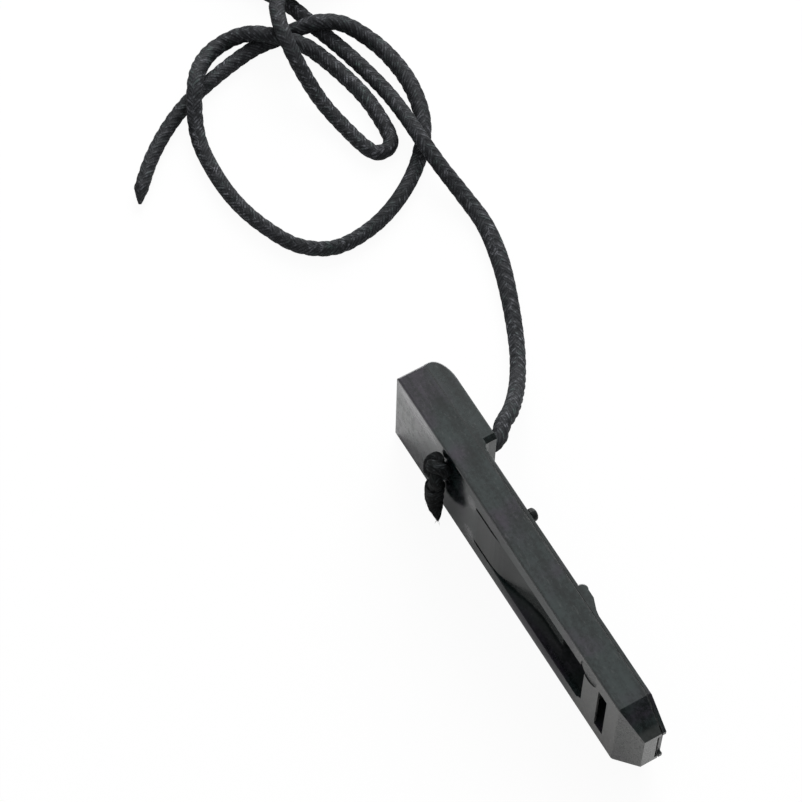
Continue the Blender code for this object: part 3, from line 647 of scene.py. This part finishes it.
wearLook = {  # the ranges over which wear shows, and how much of it there is
    "bevelSamples": 6,
    "edgeShows": (0.015, 0.16), "rubShows": (0.38, 0.62), "rubLeast": 0.2, "footSpared": 0.7,
    "scuffShows": (0.56, 0.70), "scuff": 0.22,
    "heldShows": (0.38, 0.6), "heldLeast": 0.2,
    "blotchShows": (0.44, 0.60),
    "slitShows": (0.4, 0.6), "slitLeast": 0.3, "slitPale": 0.60,
    "uprightShows": (0.2, 0.5), "specksShow": (0.36, 0.64), "specksLeast": 0.25, "backBitten": 0.62,
    "purpleShows": (0.50, 0.66), "purpleHead": 0.12,
    "toneStreak": 0.42, "toneCloud": 0.22, "toneMottle": 0.36, "toneShows": (0.37, 0.63),
    "dustLeast": 0.4,
    "roughGrain": 0.08, "roughFlow": 0.10, "roughScuff": 0.20, "roughHeld": 0.12,
    "roughBitten": 0.25, "roughPolished": 0.08, "roughBlotch": 0.11,
    "highGrain": 0.55, "highFlow": 0.3, "highHandling": 0.15,
    "fallBump": (1.0, 0.001), "grainBump": (0.18, 0.00003),
}


def satinPlastic(name, look):
    at, wear = wearPlaces, wearLook
    finish, sheet, shader = newFinish(name, {"IOR": 1.5, "Specular IOR Level": look["gloss"]})
    place = sheet.millimetres()
    x, y, z = (place.axis(direction) for direction in "XYZ")
    cloud, grain, mottle, streak, flow, handling = (
        place.noise(**mouldGrain[key])
        for key in ("cloud", "grain", "mottle", "streak", "flow", "handling")
    )
    # the dressed seam and the crown of the head are neither rounded nor rubbed
    seam = y.within(*at["seamAcross"]) * x.below(*at["seamAlong"])
    crown = x.below(*at["crownAlong"]) * z.above(*at["crownUp"])
    worked = 1 - sheet.sum("MAXIMUM", seam, crown)
    rounded, wide = (
        sheet.make("ShaderNodeBevel", {"samples": wear["bevelSamples"]}, {"Radius": radius})
        for radius in (look["edge"] * mm * worked, look["wearEdge"] * mm)
    )
    flat = sheet.make("ShaderNodeNewGeometry", out="True Normal")
    bent = 1 - wide.vector("DOT_PRODUCT", flat, "Value")
    foot = z.below(*at["footUp"]) * x.above(*at["footAlong"])  # it stands on this edge: less worn
    uneven = handling.above(*wear["rubShows"]).atLeast(wear["rubLeast"])
    rub = bent.above(*wear["edgeShows"]) * uneven * (1 - wear["footSpared"] * foot) * worked
    scuff = handling.above(*wear["scuffShows"]) * wear["scuff"]
    # the front of the head is painted pale under its upper edge, partly handling wear and partly
    # painted highlight, and polished where the knot swings
    front = y.below(*at["frontAcross"]) * look["handledAndLit"]
    band = z.within(*at["bandUp"]) * x.below(*at["bandAlong"])
    heldAndLit = front * band * flow.above(*wear["heldShows"]).atLeast(wear["heldLeast"])
    swing = place.vector("DISTANCE", at["swing"], "Value")
    polished = front * swing.below(*at["swingReach"])
    head = front * x.below(*at["blotchAlong"])
    blotch = head * place.noise(**mouldGrain["blotch"]).above(*wear["blotchShows"])
    # painted highlight where the slits begin, and bitten at the lip, where it is painted paler as
    # highlight
    slitGlint = handling.above(*wear["slitShows"]).atLeast(wear["slitLeast"])
    for start in at["slits"]:
        near = place.vector("DISTANCE", start, "Value").below(*at["slitReach"])
        heldAndLit = heldAndLit + wear["slitPale"] * front * near * slitGlint
    upright = sheet.sum("ABSOLUTE", flat.axis("Z")).below(*wear["uprightShows"])
    specks = place.noise(**mouldGrain["specks"]).above(*wear["specksShow"])
    # paler on the upright faces at the lip, as painted highlight
    bittenAndLit = x.above(*at["lipAlong"]) * upright * specks.atLeast(wear["specksLeast"])
    bittenAndLit = bittenAndLit * front.atLeast(wear["backBitten"])
    # clouded and streaked from deep to pale, with a purple cast towards the head
    purple = place.noise(**mouldGrain["purple"]) + wear["purpleHead"] * x.below(*at["purpleAlong"])
    pale = purple.above(*wear["purpleShows"]).mixed(look["pale"], look["tint"])
    tone = wear["toneStreak"] * streak + wear["toneCloud"] * cloud + wear["toneMottle"] * mottle
    base = tone.above(*wear["toneShows"]).mixed(look["deep"], pale)
    inside = z.within(*at["bayUp"]) * y.within(*at["bayAcross"])  # dust settles in the bay
    base = (inside * mottle.atLeast(wear["dustLeast"])).mixed(base, look["dust"])
    worn = (rub * look["wear"] + scuff).mixed(base, look["rubbed"])
    heldAndLit.mixed(bittenAndLit.mixed(worn, look["bittenAndLit"]), look["heldAndLit"]).feeds(shader, "Base Color")
    rough = look["rough"] + wear["roughGrain"] * (grain - 0.5) + wear["roughFlow"] * (flow - 0.5)
    rough = rough + wear["roughScuff"] * scuff + wear["roughHeld"] * heldAndLit
    rough = rough + wear["roughBitten"] * bittenAndLit - wear["roughPolished"] * polished
    (rough + wear["roughBlotch"] * blotch).feeds(shader, "Roughness")
    # the lower rail falls away softly towards the window
    falling = z.above(*at["fallUp"]) * x.within(*at["fallAlong"]) * front * look["fall"]
    softened = (1 - falling).bump(*wear["fallBump"], rounded)
    height = grain * wear["highGrain"] + flow * wear["highFlow"] + handling * wear["highHandling"]
    height.bump(*wear["grainBump"], softened).feeds(shader, "Normal")
    return finish


def dress(node, finish):
    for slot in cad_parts[node].material_slots:
        slot.material = finish


for node, look in plasticLooks.items():
    dress(node, satinPlastic(node + "Plastic", look))
print("plastic dressed")


# spring leaf of rolled steel, and the tie round the coil
leafLook = {
    "bright": colour(0.56, 0.57, 0.58), "blued": colour(0.36, 0.37, 0.40),
    "rolled": {"scale": 2.2, "detail": 4.0, "rough": 0.6, "stretch": (0.06, 3.0, 3.0)},
    "stain": {"scale": 0.3, "detail": 3.0},
    "shows": (0.3, 0.7),
    "rough": 0.27, "roughRolled": 0.2, "roughStain": 0.12,
    "bump": (0.2, 0.00001),
}
tieLook = {
    "deep": colour(0.018, 0.018, 0.019), "worn": colour(0.055, 0.055, 0.057),
    "dust": {"scale": 2.4, "detail": 4.0, "rough": 0.6}, "dustShows": (0.5, 0.75), "dusty": 0.6,
    "cloud": {"scale": 0.4}, "cloudy": 0.2,
    "rough": 0.58, "roughDust": 0.2,
    "bump": (0.3, 0.00004),
}


def rolledSteel(look):
    finish, sheet, shader = newFinish("rolledSteel", {"Metallic": 1.0})
    place = sheet.millimetres()
    rolled, stain = place.noise(**look["rolled"]), place.noise(**look["stain"])
    tone = (0.5 * rolled + 0.5 * stain).above(*look["shows"])
    tone.mixed(look["blued"], look["bright"]).feeds(shader, "Base Color")
    rough = look["rough"] + look["roughRolled"] * (rolled - 0.5) + look["roughStain"] * stain
    rough.feeds(shader, "Roughness")
    rolled.bump(*look["bump"]).feeds(shader, "Normal")
    return finish


def tieRubber(look):
    finish, sheet, shader = newFinish("tieRubber", {"IOR": 1.5})
    place = sheet.millimetres()
    dust, cloud = place.noise(**look["dust"]), place.noise(**look["cloud"])
    tone = dust.above(*look["dustShows"]) * look["dusty"] + cloud * look["cloudy"]
    tone.mixed(look["deep"], look["worn"]).feeds(shader, "Base Color")
    (look["rough"] + look["roughDust"] * (dust - 0.5)).feeds(shader, "Roughness")
    dust.bump(*look["bump"]).feeds(shader, "Normal")
    return finish


dress("clicker_strip", rolledSteel(leafLook))
dress("coil_tie", tieRubber(tieLook))
print("leaf and tie dressed")


# the tongue grows out of the head: a web closes the line at its root
webLook = {  # millimetres
    "from": -13.1, "to": -12.63, "laps": 0.3, "front": -4.981, "wall": 1.1,
    "fillet": 0.35, "filletReach": 0.4, "filletSteps": 4,
    "low": 4.9, "high": 17.4, "steps": 24,
    "plastic": {
        **plasticLooks["body"],
        "edge": 0.01, "wearEdge": 0.01, "handledAndLit": 0.0, "fall": 0.0,
    },
}


def rootWeb(look):
    front, back = look["front"], look["front"] + look["wall"]
    start, end, fillet = look["from"] - look["laps"], look["to"] + look["laps"], look["fillet"]
    outline = [(start, front), (end, front)]
    for step in range(look["filletSteps"] + 1):  # hollow fillet behind, towards the tongue
        turn = step / look["filletSteps"] * math.pi / 2
        reach = fillet * look["filletReach"] * math.sin(turn)
        outline.append((end - reach, back - fillet * math.cos(turn)))
    outline.append((start, back))
    rows = np.linspace(look["low"], look["high"], look["steps"] + 1)
    places = [(x * mm, y * mm, z * mm) for z in rows for x, y in outline]
    plastic = satinPlastic("rootPlastic", look["plastic"])
    web = newPiece("tongue_root_web", places, skinFaces(len(rows), len(outline)), plastic)
    look["from"] * mm
    look["to"] * mm
    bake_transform(web)


rootWeb(webLook)
print("tongue root closed")


# the weld between the two mouldings, a fine bead in the parting line, short of the windway
beadLook = {  # millimetres
    "outline": [
        (41.4, 4.48), (36.6, 0.0), (-15.0, 0.0), (-22.0, 0.0), (-42.6, 0.0),
        (-42.6, 22.3), (-22.0, 22.3), (-15.0, 22.3), (36.6, 22.3), (41.4, 17.82),
    ],
    "flush": (-22.0, -15.0),      # trimmed flush on the head, left in its groove past it
    "proud": 0.004,
    "corner": 0.35,
    "cornerSteps": 5,
    "section": [                  # depth under the outline, and across
        (0.80, 0.960), (0.10, 0.960), (0.05, 1.05), (0.035, 1.125),
        (0.05, 1.20), (0.10, 1.290), (0.80, 1.290),
    ],
    "buried": 0.5,                # deeper than this it keeps its depth
    "deep": colour(0.0040, 0.0066, 0.0066),
    # the paler colour along the bead past the head, partly painted highlight
    "worn": colour(0.060, 0.062, 0.062),
    "drips": {"scale": 1.3, "detail": 3.0, "stretch": (0.5, 1.0, 1.0)}, "dripsShow": (0.30, 0.62),
    "grain": {"scale": 5.0},
    "baredAndLit": (-22.0, -14.0), "baredMost": 0.6,    # dark round the head, paler past it: worn weld and painted highlight of the parting edges
    "rough": 0.26, "roughGrain": 0.2,
    "bump": (0.3, 0.00003),
}


def weldPlastic(look):
    finish, sheet, shader = newFinish("weldPlastic", {"IOR": 1.5})
    place = sheet.millimetres()
    drips, grain = place.noise(**look["drips"]), place.noise(**look["grain"])
    baredAndLit = place.axis("X").above(*look["baredAndLit"]) * drips.above(*look["dripsShow"])
    (look["baredMost"] * baredAndLit).mixed(look["deep"], look["worn"]).feeds(shader, "Base Color")
    (look["rough"] + look["roughGrain"] * (grain - 0.5)).feeds(shader, "Roughness")
    drips.bump(*look["bump"]).feeds(shader, "Normal")
    return finish


def weldBead(look):
    outline, corner = np.array(look["outline"]), look["corner"]
    route = [outline[0]]
    for place, before, after in zip(outline[1:-1], outline, outline[2:]):
        start = place + corner * (before - place) / np.linalg.norm(before - place)
        end = place + corner * (after - place) / np.linalg.norm(after - place)
        for t in np.linspace(0, 1, look["cornerSteps"]):
            route.append((1 - t) ** 2 * start + 2 * t * (1 - t) * place + t**2 * end)
    route = np.array([*route, outline[-1]])
    ahead = np.gradient(route, axis=0)
    ahead /= np.linalg.norm(ahead, axis=1)[:, None]
    inward = np.column_stack([ahead[:, 1], -ahead[:, 0]])
    places = []
    for (x, z), (inX, inZ) in zip(route, inward):
        sunk = np.interp(x, look["flush"], (0, 1))
        for depth, y in look["section"]:
            if depth <= look["buried"]:
                depth = depth * sunk - look["proud"] * (1 - sunk)
            places.append(((x + inX * depth) * mm, y * mm, (z + inZ * depth) * mm))
    faces = skinFaces(len(route), len(look["section"]), flipped=True)
    bead = newPiece("weld_bead", places, faces, weldPlastic(look))
    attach(bead, "whistle")


weldBead(beadLook)
print("parting line welded")


# floor, soft light from behind the head and a plain room that is darker low down
studioLook = {
    "floor": colour(0.88, 0.88, 0.88),
    "floorHalf": 4.0,
    "seenWhite": 0.94,          # how much of the floor reads as plain white
    "zenith": 0.92, "zenithFade": (0.48, 0.82),
    "horizon": 0.42,
    "frontSide": 0.22, "frontFade": (-0.6, 0.2),    # towards the open front face
    "flag": 0.16, "flagFade": (0.30, 0.70),         # towards the lip end, low down
    "boxPlace": (-0.75, 0.55, 0.50),
    "boxSize": 0.7,
    "boxWatts": 13.5,
}


def layFloor(look):
    finish = bpy.data.materials.new("palePaper")
    finish.use_nodes = True
    finish.node_tree.nodes.clear()
    sheet = Wire(finish.node_tree)
    paper = sheet.make("ShaderNodeBsdfDiffuse", {}, {"Color": look["floor"]})
    white = sheet.make("ShaderNodeEmission", {}, {"Color": colour(1, 1, 1), "Strength": 1.0})
    camera = sheet.make("ShaderNodeLightPath", out="Is Camera Ray")
    through = sheet.make("ShaderNodeLightPath", out="Is Transmission Ray")
    seen = (camera + through) * look["seenWhite"]
    shown = sheet.make("ShaderNodeMixShader", {}, {0: seen, 1: paper, 2: white})
    sheet.make("ShaderNodeOutputMaterial", {}, {"Surface": shown})
    half = look["floorHalf"]
    corners = [(-half, -half, 0), (half, -half, 0), (half, half, 0), (-half, half, 0)]
    floor = newPiece("studio_floor", corners, [(0, 1, 2, 3)], finish)


def lightRoom(look):
    world = bpy.data.worlds.new("studioRoom")
    scene.world = world
    world.use_nodes = True
    world.node_tree.nodes.clear()
    sheet = Wire(world.node_tree)
    heading = sheet.make("ShaderNodeTexCoord", out="Generated")
    x, y, z = (heading.axis(direction) for direction in "XYZ")
    wall = y.above(*look["frontFade"])
    wall = look["frontSide"] + (look["horizon"] - look["frontSide"]) * wall
    flagged = x.above(*look["flagFade"])
    low = wall * (1 - flagged) + look["flag"] * flagged
    level = low + (look["zenith"] - low) * z.above(*look["zenithFade"])
    camera = sheet.make("ShaderNodeLightPath", out="Is Camera Ray")
    shown = camera + (1 - camera) * level
    room = sheet.make("ShaderNodeBackground", {}, {"Color": colour(1, 1, 1), "Strength": shown})
    sheet.make("ShaderNodeOutputWorld", {}, {"Surface": room})


def hangSoftBox(look):
    data = bpy.data.lights.new("softBox", "AREA")
    data.shape = "SQUARE"
    data.size = look["boxSize"]
    data.energy = look["boxWatts"]
    place = np.array(look["boxPlace"])
    back = place / np.linalg.norm(place)  # it faces the middle of the floor
    right = np.cross((0, 1, 0), back)
    right /= np.linalg.norm(right)
    addObject("softBox", data).matrix_world = turnedTo(right, np.cross(back, right), back, place)


layFloor(studioLook)
lightRoom(studioLook)
hangSoftBox(studioLook)
print("studio lit")

bpy.context.view_layer.update()
